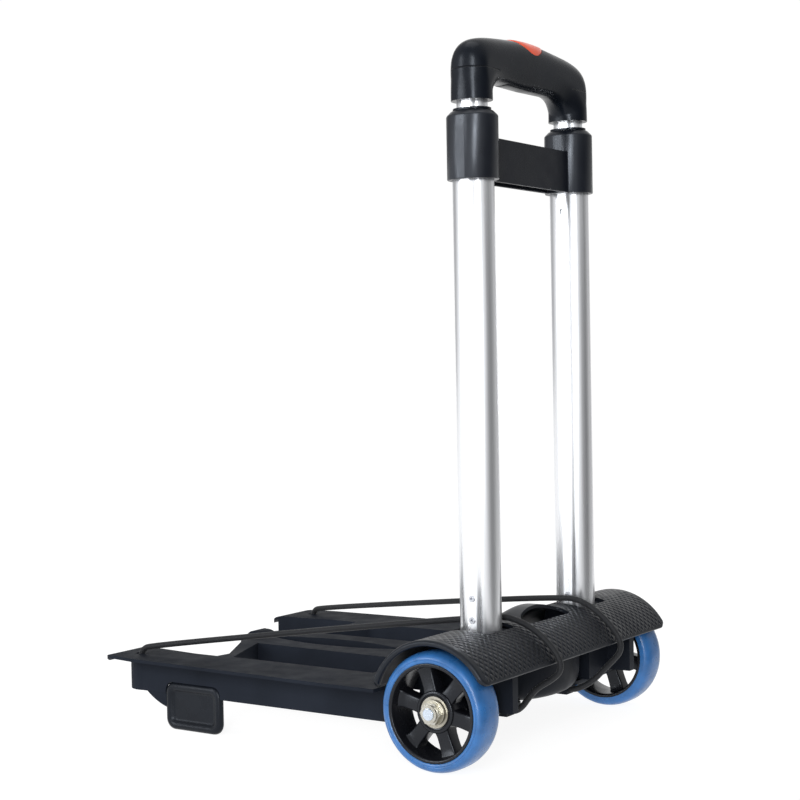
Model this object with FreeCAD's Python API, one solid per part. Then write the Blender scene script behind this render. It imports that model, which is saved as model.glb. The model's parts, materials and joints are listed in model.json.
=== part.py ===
"""Folding luggage cart: fold-up platform, two wheels and a telescopic handle of three stages.

Millimetres, +Z up. Shapes are drawn with Y = 0 at the axle and X = 0 on the middle plane, and
save() moves them so that the origin is on the floor under the middle of the cart's length.
The platform points to -Y. "right" is the +X side, "left" the -X side.
"""

import FreeCAD
import Part
import math
import os

Vector = FreeCAD.Vector
SIDES = {"right": 1, "left": -1}

# Wheels and axle
WHEEL_R = 50.0
WHEEL_W = 31.5
WHEEL_X = 150.9
RIM_R = 41.0
RIM_WALL = 3.5
HUB_R = 17.6
HUB_FACE = 9.1
HUB_BACK = -13.9
SPOKES = 6
SPOKE_TURN = 18.0
SPOKE_W = 13.0
SPOKE_HALF_DEPTH = 7.0
BEARING_R = 13.0
BEARING_W = 8.0
AXLE_R = 5.0
AXLE_END = 170.0
NUT_FLATS = 17.0

# Tubes of the handle, each flat-sided and round-ended
TUBE_X = 84.7
TUBE_T = 28.4
TUBE_L = 36.8
STAGE_STEP = 4.5
TUBE_WALL = 1.3
TUBE_FOOT = 70.0
OUTER_TOP = 541.0
STAGE_TRAVEL = 190.0
LOCK_Z = 471.7
LOCK_PIN_R = 2.5
LOCK_HOLE_R = 3.0

# Collars and bridge
COLLAR_T = 38.5
COLLAR_L = 45.2
COLLAR_Z = (488.5, 546.5)
BRIDGE_Y = (-13.0, 9.0)
BRIDGE_TOP = 526.0

# Fender housing
FENDER_R = 60.0
FENDER_WALL = 3.0
HALF_WIDTH = 168.0
LIP_DEG = 27.0
FRONT_DEG = 164.0
SLOT_SPARE = 12.0
HOOD_TOP = 116.5

# Platform
DECK_FRONT = -385.0
DECK_REAR = -55.0
DECK_TOP = 65.0
DECK_WALL = 3.0
TIP_BEND = -366.0
WING_IN = 111.0
WING_OUT = 168.0
TIP_IN = 106.0
INNER_WALL_LOW = 47.5
SKIRT_OUT = 145.5
SKIRT_LOW = 33.0
SKIRT_T = 2.5
RIB_LOW = 46.3
HINGE_Y = -70.0
HINGE_Z = 58.0
HINGE_R = 6.5
HINGE_PIN_R = 3.0
EARS = ((66.0, 74.0), (88.0, 96.0))
KNUCKLES = ((54.0, 65.5), (74.5, 87.5), (96.5, 107.0))
EAR_GAP = 0.5
FOOT_Y = (-307.0, -241.0)
FOOT_TOP = 44.0
FOOT_X = (139.5, 146.5)

# Elastic cords
CORD_R = 2.75
CORD_HOLE = (134.2, -348.4)
ANCHOR_Z = 32.0
ANCHOR_HALF = 4.0

# Grip and release button
GRIP_FOOT = 555.0
GRIP_SEAM = 579.0
GRIP_LOW = 574.0
LEG_T = 31.3
LEG_L = 36.5
BUTTON_L = 54.0
BUTTON_W = 22.0
BUTTON_TOP = 617.0
BUTTON_TRAVEL = 3.5
BAR_Z = (590.0, 595.0)

RUNNING = 0.05
SLIDING = 0.4

LIP_Y = FENDER_R * math.cos(math.radians(LIP_DEG))
AXLE_Y = -(DECK_FRONT + LIP_Y) / 2
MIDDLE_T, MIDDLE_L = TUBE_T - STAGE_STEP, TUBE_L - STAGE_STEP
INNER_T, INNER_L = MIDDLE_T - STAGE_STEP, MIDDLE_L - STAGE_STEP
MIDDLE_PIN_Z = LOCK_Z - STAGE_TRAVEL
MIDDLE_FOOT = MIDDLE_PIN_Z - 20
INNER_FOOT = MIDDLE_PIN_Z + 20
INNER_PIN_Z = INNER_FOOT + 14
INNER_TOP = 574.0


# ---- shape helpers -------------------------------------------------------------------------

def save(name, shape):
    """Write one node, moved into the cart's own frame."""
    shape = shape.removeSplitter()
    shape.translate(Vector(0, AXLE_Y, 0))
    shape.exportStep("parts/" + name + ".step")


def box(x, y, z):
    """A box from its ranges."""
    return Part.makeBox(x[1] - x[0], y[1] - y[0], z[1] - z[0], Vector(x[0], y[0], z[0]))


def side_range(side, a, b):
    """The range from a to b on the given side of the middle plane."""
    return tuple(sorted((side * a, side * b)))


def rod(radius, start, end):
    """A cylinder between two points."""
    start, end = Vector(*start), Vector(*end)
    return Part.makeCylinder(radius, (end - start).Length, start, end - start)


def ring(inner, outer, start, end):
    """A cylinder with a bore."""
    return rod(outer, start, end).cut(rod(inner, start, end))


def on_xy(z):
    return lambda a, b: Vector(a, b, z)


def on_yz(x):
    return lambda a, b: Vector(x, a, b)


def on_xz(y):
    return lambda a, b: Vector(a, y, b)


def face(place, start, *moves):
    """A flat face. A move is the end of a line, or the middle and the end of an arc."""
    edges = []
    here = start
    for move in moves + (start,):
        if isinstance(move[0], tuple):
            middle, there = move
            edges.append(Part.Arc(place(*here), place(*middle), place(*there)).toShape())
        else:
            there = move
            if there == here:
                continue
            edges.append(Part.LineSegment(place(*here), place(*there)).toShape())
        here = there
    return Part.Face(Part.Wire(edges))


def obround(x, thickness, length, z0, z1):
    """An upright bar whose flats face X and whose ends are round."""
    r, flat = thickness / 2, (length - thickness) / 2
    outline = face(
        on_xy(z0), (x + r, -flat), (x + r, flat),
        ((x, flat + r), (x - r, flat)), (x - r, -flat), ((x, -flat - r), (x + r, -flat)))
    return outline.extrude(Vector(0, 0, z1 - z0))


def tube(x, thickness, length, wall, z0, z1):
    """A flat-sided tube."""
    hollow = obround(x, thickness - 2 * wall, length - 2 * wall, z0, z1)
    return obround(x, thickness, length, z0, z1).cut(hollow)


def lying_obround(x, y, z):
    """A bar along X with round ends, upright walls, from its ranges."""
    r = (y[1] - y[0]) / 2
    middle = (y[0] + y[1]) / 2
    outline = face(
        on_xy(z[0]), (x[0] + r, y[0]), (x[1] - r, y[0]), ((x[1], middle), (x[1] - r, y[1])),
        (x[0] + r, y[1]), ((x[0], middle), (x[0] + r, y[0])))
    return outline.extrude(Vector(0, 0, z[1] - z[0]))


def turned(x, *profile):
    """A solid of revolution about the axle from a profile of (along, radius) points."""
    outline = face(lambda a, r: Vector(x + a, 0, WHEEL_R + r), *profile)
    return outline.revolve(Vector(x, 0, WHEEL_R), Vector(1, 0, 0), 360)


def fused(shapes):
    """One solid from several that overlap."""
    first = shapes[0]
    return first.fuse(shapes[1:]) if len(shapes) > 1 else first


def mirrored(shape):
    """The same shape on the other side of the middle plane."""
    return shape.mirror(Vector(0, 0, 0), Vector(1, 0, 0))


def for_side(shape, side):
    """A shape drawn on the right, on the side asked for."""
    return shape if side > 0 else mirrored(shape)


def both(shape):
    """A right-hand piece and its mirror image, as separate solids."""
    return Part.makeCompound([shape, mirrored(shape)])


# ---- fender housing and what it carries ----------------------------------------------------

def polar(radius, degrees):
    """A point about the axle, as (y, z)."""
    angle = math.radians(degrees)
    return (radius * math.cos(angle), WHEEL_R + radius * math.sin(angle))


def sector(inner, outer, x, rear, front):
    """Part of a ring about the axle."""
    middle = (rear + front) / 2
    outline = face(
        on_yz(x[0]), polar(inner, rear), polar(outer, rear),
        (polar(outer, middle), polar(outer, front)),
        polar(inner, front), (polar(inner, middle), polar(inner, rear)))
    return outline.extrude(Vector(x[1] - x[0], 0, 0))


def hood():
    """The raised brow in front of the finger hole."""
    half, foot, front, back = 46.0, 104.0, -20.0, 8.0
    arch = face(on_xz(front), (-half, foot), ((0, HOOD_TOP), (half, foot)))
    solid = arch.extrude(Vector(0, back - front, 0))
    hollow = rod(FENDER_R - 1, (-half, 0, WHEEL_R), (half, 0, WHEEL_R))
    slope = face(on_yz(-half), (front, foot - 1), (front, HOOD_TOP + 1), (front + 14, HOOD_TOP + 1))
    return solid.cut(hollow).cut(slope.extrude(Vector(2 * half, 0, 0)))


def finger_hole():
    """The D-shaped hole behind the hood."""
    outline = face(on_xy(80), (-36, 21), (-36, 13), ((0, 3), (36, 13)), (36, 21))
    return outline.extrude(Vector(0, 0, 50))


def fender_housing():
    rim_x = HALF_WIDTH - 4
    shell = sector(FENDER_R - FENDER_WALL, FENDER_R, (-rim_x, rim_x), LIP_DEG, FRONT_DEG)
    rim = sector(FENDER_R - 5, FENDER_R, (rim_x, HALF_WIDTH), LIP_DEG, FRONT_DEG)
    shell = fused([shell, rim, mirrored(rim), hood()]).cut(finger_hole())
    reach = TUBE_T / 2 + SLOT_SPARE
    half = TUBE_L / 2 + 0.5
    slot = box((TUBE_X - reach, TUBE_X + reach), (-half, half), (80, 130))
    return shell.cut(slot).cut(mirrored(slot))


def inside_fender(x, y, z):
    """A box trimmed to the inside of the fender."""
    return box(x, y, z).common(rod(FENDER_R - FENDER_WALL, (x[0], 0, WHEEL_R), (x[1], 0, WHEEL_R)))


def axle_bracket():
    """Tube socket, wheel-side plate, axle boss and hinge ears, right side."""
    half_x, half_y, floor = 18.5, 23.0, 40.0
    socket = inside_fender((TUBE_X - half_x, TUBE_X + half_x), (-half_y, half_y), (floor, 108))
    socket = socket.cut(box(
        (TUBE_X - half_x + 4, TUBE_X + half_x - 4), (-half_y + 4, half_y - 4), (floor - 1, TUBE_FOOT - 5)))
    plate = inside_fender((103, 112), (-46, 46), (44, 108))
    web = inside_fender((TUBE_X + half_x - 1, 104), (-12, 12), (floor, 108))
    inner_boss = rod(9.5, (TUBE_X - half_x, 0, WHEEL_R), (104, 0, WHEEL_R))
    outer_boss = rod(16, (111, 0, WHEEL_R), (128, 0, WHEEL_R))
    pieces = [socket, plate, web, inner_boss, outer_boss]
    for ear in EARS:
        pieces.append(box(ear, (HINGE_Y, -20), (HINGE_Z - HINGE_R, HINGE_Z + HINGE_R)))
        pieces.append(rod(HINGE_R, (ear[0], HINGE_Y, HINGE_Z), (ear[1], HINGE_Y, HINGE_Z)))
    bracket = fused(pieces)
    bracket = bracket.cut(obround(TUBE_X, TUBE_T, TUBE_L, TUBE_FOOT, 120))
    bracket = bracket.cut(rod(AXLE_R, (60, 0, WHEEL_R), (130, 0, WHEEL_R)))
    return bracket.cut(rod(HINGE_PIN_R, (60, HINGE_Y, HINGE_Z), (100, HINGE_Y, HINGE_Z)))


def ellipse_bar(a, b, z):
    """An upright bar with an elliptical section about the middle."""
    curve = Part.Ellipse(Vector(0, 0, z[0]), a, b).toShape()
    return Part.Face(Part.Wire([curve])).extrude(Vector(0, 0, z[1] - z[0]))


def belly_cover():
    """The rounded tub under the housing, with tabs that lie under the sockets."""
    a, b, low, high, wall = 58.0, 43.0, 39.0, 76.0, 3.0
    tub = ellipse_bar(a, b, (low, high))
    bottom = [e for e in tub.Edges if abs(e.CenterOfMass.z - low) < 0.01]
    tub = tub.makeFillet(7.5, bottom)
    tub = tub.cut(ellipse_bar(a - wall, b - wall, (low + wall, high + 1)))
    tab = box((44, 103), (-16, 16), (ANCHOR_Z + ANCHOR_HALF, 40))
    tub = fused([tub, tab, mirrored(tab)])
    return tub.cut(rod(AXLE_R + 1, (-a - 9, 0, WHEEL_R), (a + 9, 0, WHEEL_R)))


def cord_anchor():
    """The block under the belly that holds the end of a cord."""
    x, z = 54.0, ANCHOR_Z
    block = box((x - 6, x + 6), (-2, 9), (z - ANCHOR_HALF, z + ANCHOR_HALF))
    return block.cut(rod(CORD_R, (x, 4.4, z), (x, 10, z)))


# ---- wheels --------------------------------------------------------------------------------

def tyre():
    half, low, crown = WHEEL_W / 2, RIM_R, WHEEL_R
    return turned(
        WHEEL_X, (-half, low), (-half, crown - 5.5),
        ((-half + 2, crown - 1.8), (-half + 6.5, crown - 0.4)),
        ((0, crown), (half - 6.5, crown - 0.4)), ((half - 2, crown - 1.8), (half, crown - 5.5)),
        (half, low))


def rim():
    """Outer ring, spokes and hub of one moulding."""
    half = WHEEL_W / 2
    band = turned(
        WHEEL_X, (-half, RIM_R), (half, RIM_R), (half, RIM_R - 2.5), (half - 2, RIM_R - RIM_WALL - 1),
        (-half + 2, RIM_R - RIM_WALL - 1), (-half, RIM_R - 2.5))
    hub = ring(
        BEARING_R, HUB_R, (WHEEL_X + HUB_BACK, 0, WHEEL_R), (WHEEL_X + HUB_FACE, 0, WHEEL_R))
    shoulder = ring(
        BEARING_R - 4, BEARING_R + 1, (WHEEL_X + HUB_BACK + BEARING_W, 0, WHEEL_R),
        (WHEEL_X + HUB_FACE - BEARING_W, 0, WHEEL_R))
    pieces = [band, hub, shoulder]
    for number in range(SPOKES):
        spoke = box(
            (WHEEL_X - SPOKE_HALF_DEPTH, WHEEL_X + SPOKE_HALF_DEPTH), (-SPOKE_W / 2, SPOKE_W / 2),
            (WHEEL_R + HUB_R - 1, WHEEL_R + RIM_R - RIM_WALL))
        angle = 360 * number / SPOKES + SPOKE_TURN
        spoke.rotate(Vector(0, 0, WHEEL_R), Vector(1, 0, 0), angle)
        pieces.append(spoke)
    return fused(pieces)


def bearings():
    """Two ball bearings, each an outer race, a shield and an inner race."""
    races = []
    for start in (HUB_BACK, HUB_FACE - BEARING_W):
        low, high = WHEEL_X + start, WHEEL_X + start + BEARING_W
        races.append(ring(BEARING_R - 2.5, BEARING_R, (low, 0, WHEEL_R), (high, 0, WHEEL_R)))
        races.append(ring(7.5, BEARING_R - 2.5, (low + 0.6, 0, WHEEL_R), (high - 0.6, 0, WHEEL_R)))
        races.append(ring(AXLE_R + RUNNING, 7.5, (low, 0, WHEEL_R), (high, 0, WHEEL_R)))
    return Part.makeCompound(races)


def lock_nut():
    """Hexagon with a rounded outer collar."""
    start, end = WHEEL_X + HUB_FACE + 2.1, AXLE_END - 1
    corner = NUT_FLATS / math.sqrt(3)
    points = [polar(corner, 60 * number) for number in range(6)]
    hexagon = face(on_yz(start), *points).extrude(Vector(end - 2 - start, 0, 0))
    bevel = Part.makeCone(corner + 2, corner - 1, end - start, Vector(start, 0, WHEEL_R), Vector(1, 0, 0))
    centre, tip = (start, 0, WHEEL_R), (end, 0, WHEEL_R)
    crown = rod(NUT_FLATS / 2 - 1, centre, tip)
    return fused([hexagon.common(bevel), crown]).cut(rod(AXLE_R, centre, tip))


def axle_parts():
    """Axle, spacers, washers and nuts."""
    hub_back, hub_face = WHEEL_X + HUB_BACK, WHEEL_X + HUB_FACE
    save("axle", rod(AXLE_R, (-AXLE_END, 0, WHEEL_R), (AXLE_END, 0, WHEEL_R)))
    spacer = ring(AXLE_R, 8, (128, 0, WHEEL_R), (hub_back - SLIDING, 0, WHEEL_R))
    save("axle_spacers", both(spacer))
    washer = ring(AXLE_R, 10.5, (hub_face + SLIDING, 0, WHEEL_R), (hub_face + 2.1, 0, WHEEL_R))
    save("axle_washers", both(washer))
    save("axle_lock_nuts", both(lock_nut()))


# ---- handle tubes, collars and locks -------------------------------------------------------

def lock_hole(z, radius):
    """A hole through the tube wall that faces the middle plane."""
    return rod(radius, (TUBE_X - TUBE_T, 0, z), (TUBE_X - 4, 0, z))


def outer_tube():
    pipe = tube(TUBE_X, TUBE_T, TUBE_L, TUBE_WALL, TUBE_FOOT, OUTER_TOP)
    for start, end in RIVETS:
        pipe = pipe.cut(rod(2, start, end))
    return pipe.cut(lock_hole(LOCK_Z, LOCK_HOLE_R))


RIVET_HALF = TUBE_T / 2
RIVETS = (
    ((TUBE_X + RIVET_HALF - 8, 0, 134.9), (TUBE_X + RIVET_HALF, 0, 134.9)),
    ((TUBE_X + RIVET_HALF - 8, 0, 116.6), (TUBE_X + RIVET_HALF, 0, 116.6)),
    ((TUBE_X - RIVET_HALF + 8, 0, 116.6), (TUBE_X - RIVET_HALF, 0, 116.6)),
)


def tube_rivets():
    """Blind rivets through the tube walls, each with a domed head and a dimple."""
    solids = []
    for start, end in RIVETS:
        outward = 1 if end[0] > start[0] else -1
        top = (end[0] + outward * 0.9, 0, end[2])
        head = rod(2.9, end, top)
        rivet = head.fuse(rod(2, start, end)).cut(rod(1, (end[0] - outward, 0, end[2]), top))
        solids += [rivet, mirrored(rivet)]
    return Part.makeCompound(solids)


def tube_plug():
    """The moulded insert that the rivets hold in the foot of an outer tube."""
    plug = obround(TUBE_X, TUBE_T - 2 * TUBE_WALL, TUBE_L - 2 * TUBE_WALL, TUBE_FOOT, 145)
    for start, end in RIVETS:
        plug = plug.cut(rod(2, start, end))
    return plug


def guide(thickness, length, top):
    """A thin sleeve in the mouth of a tube that guides the next stage."""
    mouth_t, mouth_l = thickness - 2 * TUBE_WALL, length - 2 * TUBE_WALL
    wall = (STAGE_STEP - 2 * TUBE_WALL) / 2 - SLIDING
    return tube(TUBE_X, mouth_t, mouth_l, wall, top - 26, top)


def collar():
    """The outside of one collar, with a bevelled shoulder."""
    low, high = COLLAR_Z
    body = obround(TUBE_X, COLLAR_T, COLLAR_L, low, high)
    shoulder = [e for e in body.Edges if abs(e.CenterOfMass.z - high) < 0.01]
    return body.makeChamfer(4.3, shoulder)


def collar_bridge():
    """Both collars and the channel between them, bored for the tubes."""
    low, high = COLLAR_Z
    wall = 2.5
    reach = TUBE_X - COLLAR_T / 2 + 3
    inside = reach - 6
    bar = box((-reach, reach), BRIDGE_Y, (low, BRIDGE_TOP))
    channel_y = (BRIDGE_Y[0] + wall, BRIDGE_Y[1] - wall)
    bar = bar.cut(box((-inside, inside), channel_y, (low - 1, BRIDGE_TOP - wall)))
    right = collar()
    bore = obround(TUBE_X, TUBE_T, TUBE_L, low - 1, OUTER_TOP)
    mouth = obround(TUBE_X, MIDDLE_T + 2 * SLIDING, MIDDLE_L + 2 * SLIDING, low, high + 1)
    bored = fused([right, mirrored(right), bar])
    for hole in (bore, mirrored(bore), mouth, mirrored(mouth)):
        bored = bored.cut(hole)
    return bored


def stage_tube(thickness, length, foot, top, pin_z):
    """A moving tube with the hole for its own lock pin."""
    pipe = tube(TUBE_X, thickness, length, TUBE_WALL, foot, top)
    return pipe.cut(lock_hole(pin_z, LOCK_PIN_R + RUNNING))


def middle_tube():
    pipe = stage_tube(MIDDLE_T, MIDDLE_L, MIDDLE_FOOT, COLLAR_Z[1], MIDDLE_PIN_Z)
    return pipe.cut(lock_hole(INNER_PIN_Z + STAGE_TRAVEL, LOCK_HOLE_R))


def middle_cap():
    """The ring on top of a middle tube, round the inner tube."""
    low = COLLAR_Z[1] + SLIDING
    body = obround(TUBE_X, MIDDLE_T + 1.6, MIDDLE_L + 1.6, low, low + 2)
    return body.cut(obround(TUBE_X, INNER_T + 2 * SLIDING, INNER_L + 2 * SLIDING, low - 1, low + 5))


def lock_block(thickness, length, foot, pin_z):
    """The moulded plug in the foot of a moving tube, bored for its pin."""
    block = obround(TUBE_X, thickness - 2 * TUBE_WALL, length - 2 * TUBE_WALL, foot, foot + 28)
    return block.cut(rod(LOCK_PIN_R + RUNNING, (TUBE_X - thickness, 0, pin_z), (TUBE_X + 5, 0, pin_z)))


def lock_pin(outer_thickness, pin_z):
    """A round-nosed pin that rests just inside the next tube's wall."""
    nose = TUBE_X - outer_thickness / 2 + TUBE_WALL + 0.3
    pin = rod(LOCK_PIN_R, (nose, 0, pin_z), (TUBE_X + 0.5, 0, pin_z))
    tip = [e for e in pin.Edges if abs(e.CenterOfMass.x - nose) < 0.01]
    return pin.makeFillet(1.2, tip)


# ---- grip and release ----------------------------------------------------------------------

def grip_outline():
    """The bow of the grip seen from behind, above the seam."""
    side, shoulder, top = TUBE_X + LEG_T / 2, 72.0, 615.5
    inner = TUBE_X - LEG_T / 2
    return face(
        on_xz(-LEG_L / 2), (side, GRIP_SEAM), ((93.5, 600.5), (shoulder, 608.5)),
        ((0, top), (-shoulder, 608.5)), ((-93.5, 600.5), (-side, GRIP_SEAM)), (-inner, GRIP_SEAM),
        (-inner, GRIP_LOW), (inner, GRIP_LOW), (inner, GRIP_SEAM))


def grip_section():
    """The grip's rounded section, as a long bar that its outline is trimmed with."""
    half, reach, low = LEG_L / 2, 110, GRIP_LOW
    outline = face(
        on_yz(-reach), (-half, 598), ((-12.5, 610.5), (0, 615.5)), ((12.5, 610.5), (half, 598)),
        (half, low + 10), ((half - 3, low + 3), (half - 10, low)), (10 - half, low),
        ((3 - half, low + 3), (-half, low + 10)))
    return outline.extrude(Vector(2 * reach, 0, 0))


def grip_cavity():
    """Room for the release bar and the button."""
    return fused([
        box((-90, 90), (-6, 6), (586, 596.5)),
        box((-31, 31), (-14, 14), (586, 606)),
        box((-50, 50), (-11, 11), (570, 586.5)),
    ])


def grip_shell():
    body = grip_outline().extrude(Vector(0, LEG_L, 0)).common(grip_section())
    body = body.cut(grip_cavity())
    hole = lying_obround(
        (-BUTTON_L / 2 - SLIDING, BUTTON_L / 2 + SLIDING), (-BUTTON_W / 2 - SLIDING, BUTTON_W / 2 + SLIDING),
        (600, 625))
    body = body.cut(hole)
    well = rod(3, (TUBE_X, 0, 570), (TUBE_X, 0, 590))
    return body.cut(well).cut(mirrored(well))


def grip_underplate():
    """The plate that closes the underside, hollowed from above beside the springs."""
    plate = box((-50, 50), (-11, 11), (GRIP_LOW, 586))
    for x in ((8, 46), (-46, -8)):
        plate = plate.cut(box(x, (-8, 8), (GRIP_LOW + 3, 587)))
    return plate


def grip_leg():
    """The sleeve between the inner tube and the grip shell."""
    body = obround(TUBE_X, LEG_T, LEG_L, GRIP_FOOT, GRIP_SEAM)
    body = body.cut(obround(TUBE_X, INNER_T, INNER_L, GRIP_FOOT - 1, INNER_TOP))
    return body.cut(rod(3, (TUBE_X, 0, INNER_TOP - 1), (TUBE_X, 0, GRIP_SEAM + 1)))


def release_button():
    """Crowned button with a retaining flange and a stem."""
    half_l, half_w = BUTTON_L / 2, BUTTON_W / 2
    head = lying_obround((-half_l, half_l), (-half_w, half_w), (600, BUTTON_TOP))
    crown = face(
        on_yz(-half_l), (-half_w, 590), (-half_w, BUTTON_TOP - 4),
        ((0, BUTTON_TOP), (half_w, BUTTON_TOP - 4)), (half_w, 590))
    head = head.common(crown.extrude(Vector(BUTTON_L, 0, 0)))
    flange = lying_obround((-half_l - 2, half_l + 2), (-half_w - 2, half_w + 2), (600, 603))
    stem = box((-8, 8), (-4, 4), (BAR_Z[1], 600))
    return fused([head, flange, stem])


def release_bar():
    return box((-TUBE_X - 3, TUBE_X + 3), (-4, 4), BAR_Z)


def release_rod():
    """The rod in an inner tube, from the bar to just above the lock block."""
    return rod(2, (TUBE_X, 0, INNER_FOOT + 28 + BUTTON_TRAVEL + 1), (TUBE_X, 0, BAR_Z[0]))


def button_springs():
    """Two compression springs between the grip's floor and the button's flange."""
    low, high, coil_r, wire_r, turns, y = 586.6, 599.4, 3.0, 0.5, 5, 8.6
    springs = []
    for side in SIDES.values():
        path = Part.makeHelix((high - low) / turns, high - low, coil_r)
        section = Part.Wire([Part.Circle(Vector(coil_r, 0, 0), Vector(0, 1, 0), wire_r).toShape()])
        spring = Part.Wire(path.Edges).makePipeShell([section], True, True)
        spring.translate(Vector(0, side * y, low))
        springs.append(spring)
    return Part.makeCompound(springs)


# ---- platform ------------------------------------------------------------------------------

def wing_plan():
    """Plan of the right wing of the platform."""
    return face(
        on_xy(30), (WING_IN - 2, DECK_REAR), (WING_IN, -300), (TIP_IN, -345), (TIP_IN, -373),
        ((109.5, -381.5), (118, DECK_FRONT)), (127, DECK_FRONT), ((146, -379.5), (157, -363)),
        (161, -335), (WING_OUT, -100), (WING_OUT, DECK_REAR))


def bed_plan():
    """Plan of the bed between the wings, front edge bowed."""
    return face(
        on_xy(30), (-WING_IN - 3, DECK_REAR), (-WING_IN - 3, -274), (-96, -271), (-42, -302), (-20, -319),
        (20, -319), (42, -302), (96, -271), (WING_IN + 3, -274), (WING_IN + 3, DECK_REAR))


def side_gap():
    """Plan of the gap between the right slat and wing."""
    return face(on_xy(30), (38, -284), (WING_IN - 2.5, -256), (WING_IN - 2.5, -97), (41, -97))


def middle_gap():
    """Plan of the lens-shaped gap between the slats."""
    return face(on_xy(30), (0, -298), ((16, -218), (0, -138)), ((-16, -218), (0, -298)))


def raised(plan, z):
    """A plan face as a solid between two heights."""
    solid = plan.extrude(Vector(0, 0, z[1] - z[0]))
    solid.translate(Vector(0, 0, z[0] - 30))
    return solid


def wall_round(plan, thickness, z):
    """A wall just outside a plan face."""
    outer = plan.makeOffset2D(thickness)
    return raised(outer, z).cut(raised(plan, z))


def side_profile():
    """The platform's plate seen from the side: level, with the tips curved down."""
    low = DECK_TOP - DECK_WALL
    outline = face(
        on_yz(-WING_OUT), (DECK_REAR, low), (DECK_REAR, DECK_TOP), (TIP_BEND, DECK_TOP),
        ((-375.9, DECK_TOP - 1.8), (DECK_FRONT, DECK_TOP - 7)), (DECK_FRONT + 2, low - 6),
        ((-374.7, low - 1.4), (TIP_BEND, low)))
    return outline.extrude(Vector(2 * WING_OUT, 0, 0))


def plate():
    plan = fused([raised(wing_plan(), (30, 80)), mirrored(raised(wing_plan(), (30, 80))),
                  raised(bed_plan(), (30, 80))])
    for gap in (side_gap(), middle_gap()):
        plan = plan.cut(raised(gap, (20, 90)))
    plan = plan.cut(mirrored(raised(side_gap(), (20, 90))))
    return plan.common(side_profile())


def skirt():
    """The closed wall under the right wing."""
    plan = face(
        on_xy(30), (WING_IN, -58), (WING_IN, -335), ((118, -353), (130, -360)),
        ((140, -355), (SKIRT_OUT, -335)),
        (SKIRT_OUT, -58))
    inner = plan.makeOffset2D(-SKIRT_T)
    wall = raised(plan, (SKIRT_LOW, DECK_TOP - DECK_WALL + 0.5)).cut(raised(inner, (20, 90)))
    return wall.common(below_plate())


def inner_wall():
    """The upright wall along the inner edge of the right wing's tip."""
    plan = face(
        on_xy(30), (WING_IN, -296), (TIP_IN, -345), (TIP_IN, -373), (TIP_IN + SKIRT_T, -373),
        (TIP_IN + SKIRT_T, -345), (WING_IN + SKIRT_T, -296))
    return raised(plan, (INNER_WALL_LOW, DECK_TOP)).common(below_plate())


def below_plate():
    """Everything below the plate's top, so that walls stop under the curved tips."""
    outline = face(
        on_yz(-WING_OUT), (DECK_REAR, 0), (DECK_REAR, DECK_TOP - 1), (TIP_BEND, DECK_TOP - 1),
        ((-375.3, DECK_TOP - 2.6), (DECK_FRONT + 1, DECK_TOP - 7.8)), (DECK_FRONT + 1, 0))
    return outline.extrude(Vector(2 * WING_OUT, 0, 0))


def buttress():
    """The curved web that carries the skirt's nose down to the foot."""
    start, end = FOOT_X[0], SKIRT_OUT - 1
    outline = face(
        on_yz(start), (-331, SKIRT_LOW + 4), (-331, SKIRT_LOW), ((-321, 26), (FOOT_Y[0], 20)),
        (FOOT_Y[0] + 2, 20), (FOOT_Y[0] + 2, SKIRT_LOW + 4))
    return outline.extrude(Vector(end - start, 0, 0))


def foot_block(grow=0.0):
    """The outer form of the right foot."""
    y0, y1, low, high, r = FOOT_Y[0] - grow, FOOT_Y[1] + grow, 0.0, FOOT_TOP + grow, 9.0
    c = r * (1 - math.sqrt(0.5))
    outline = face(
        on_yz(FOOT_X[0]), (y0 + r, low), (y1 - r, low), ((y1 - c, low + c), (y1, low + r)),
        (y1, high - r), ((y1 - c, high - c), (y1 - r, high)), (y0 + r, high),
        ((y0 + c, high - c), (y0, high - r)), (y0, low + r), ((y0 + c, low + c), (y0 + r, low)))
    return outline.extrude(Vector(FOOT_X[1] - FOOT_X[0], 0, 0))


def foot():
    """A slab foot with a framed panel on its outer face."""
    rim, depth = 9.5, 2.5
    y = (FOOT_Y[0] + rim, FOOT_Y[1] - rim)
    panel = box((FOOT_X[1] - depth, FOOT_X[1] + 1), y, (rim + 2, FOOT_TOP - rim))
    upright = [e for e in panel.Edges if abs(e.tangentAt(e.FirstParameter).x) > 0.99]
    return foot_block().cut(panel.makeFillet(4, upright))


def knuckle(x):
    """One hinge knuckle of the platform."""
    barrel = rod(HINGE_R, (x[0], HINGE_Y, HINGE_Z), (x[1], HINGE_Y, HINGE_Z))
    return barrel.fuse(box(x, (HINGE_Y - HINGE_R, HINGE_Y + HINGE_R), (HINGE_Z, DECK_TOP - 1)))


def front_nub():
    """The rounded finger lip at the middle of the front edge."""
    half = 12
    side = face(
        on_yz(-half), (-319, 55), (-319, 66), ((-316.6, 69.2), (-311, 70)),
        ((-303.4, 68.4), (-299, 64)), (-299, 55))
    arch = face(on_xz(-325), (-half, 55), (-half, 65), ((0, 75), (half, 65)), (half, 55))
    return side.extrude(Vector(2 * half, 0, 0)).common(arch.extrude(Vector(0, 30, 0)))


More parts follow.
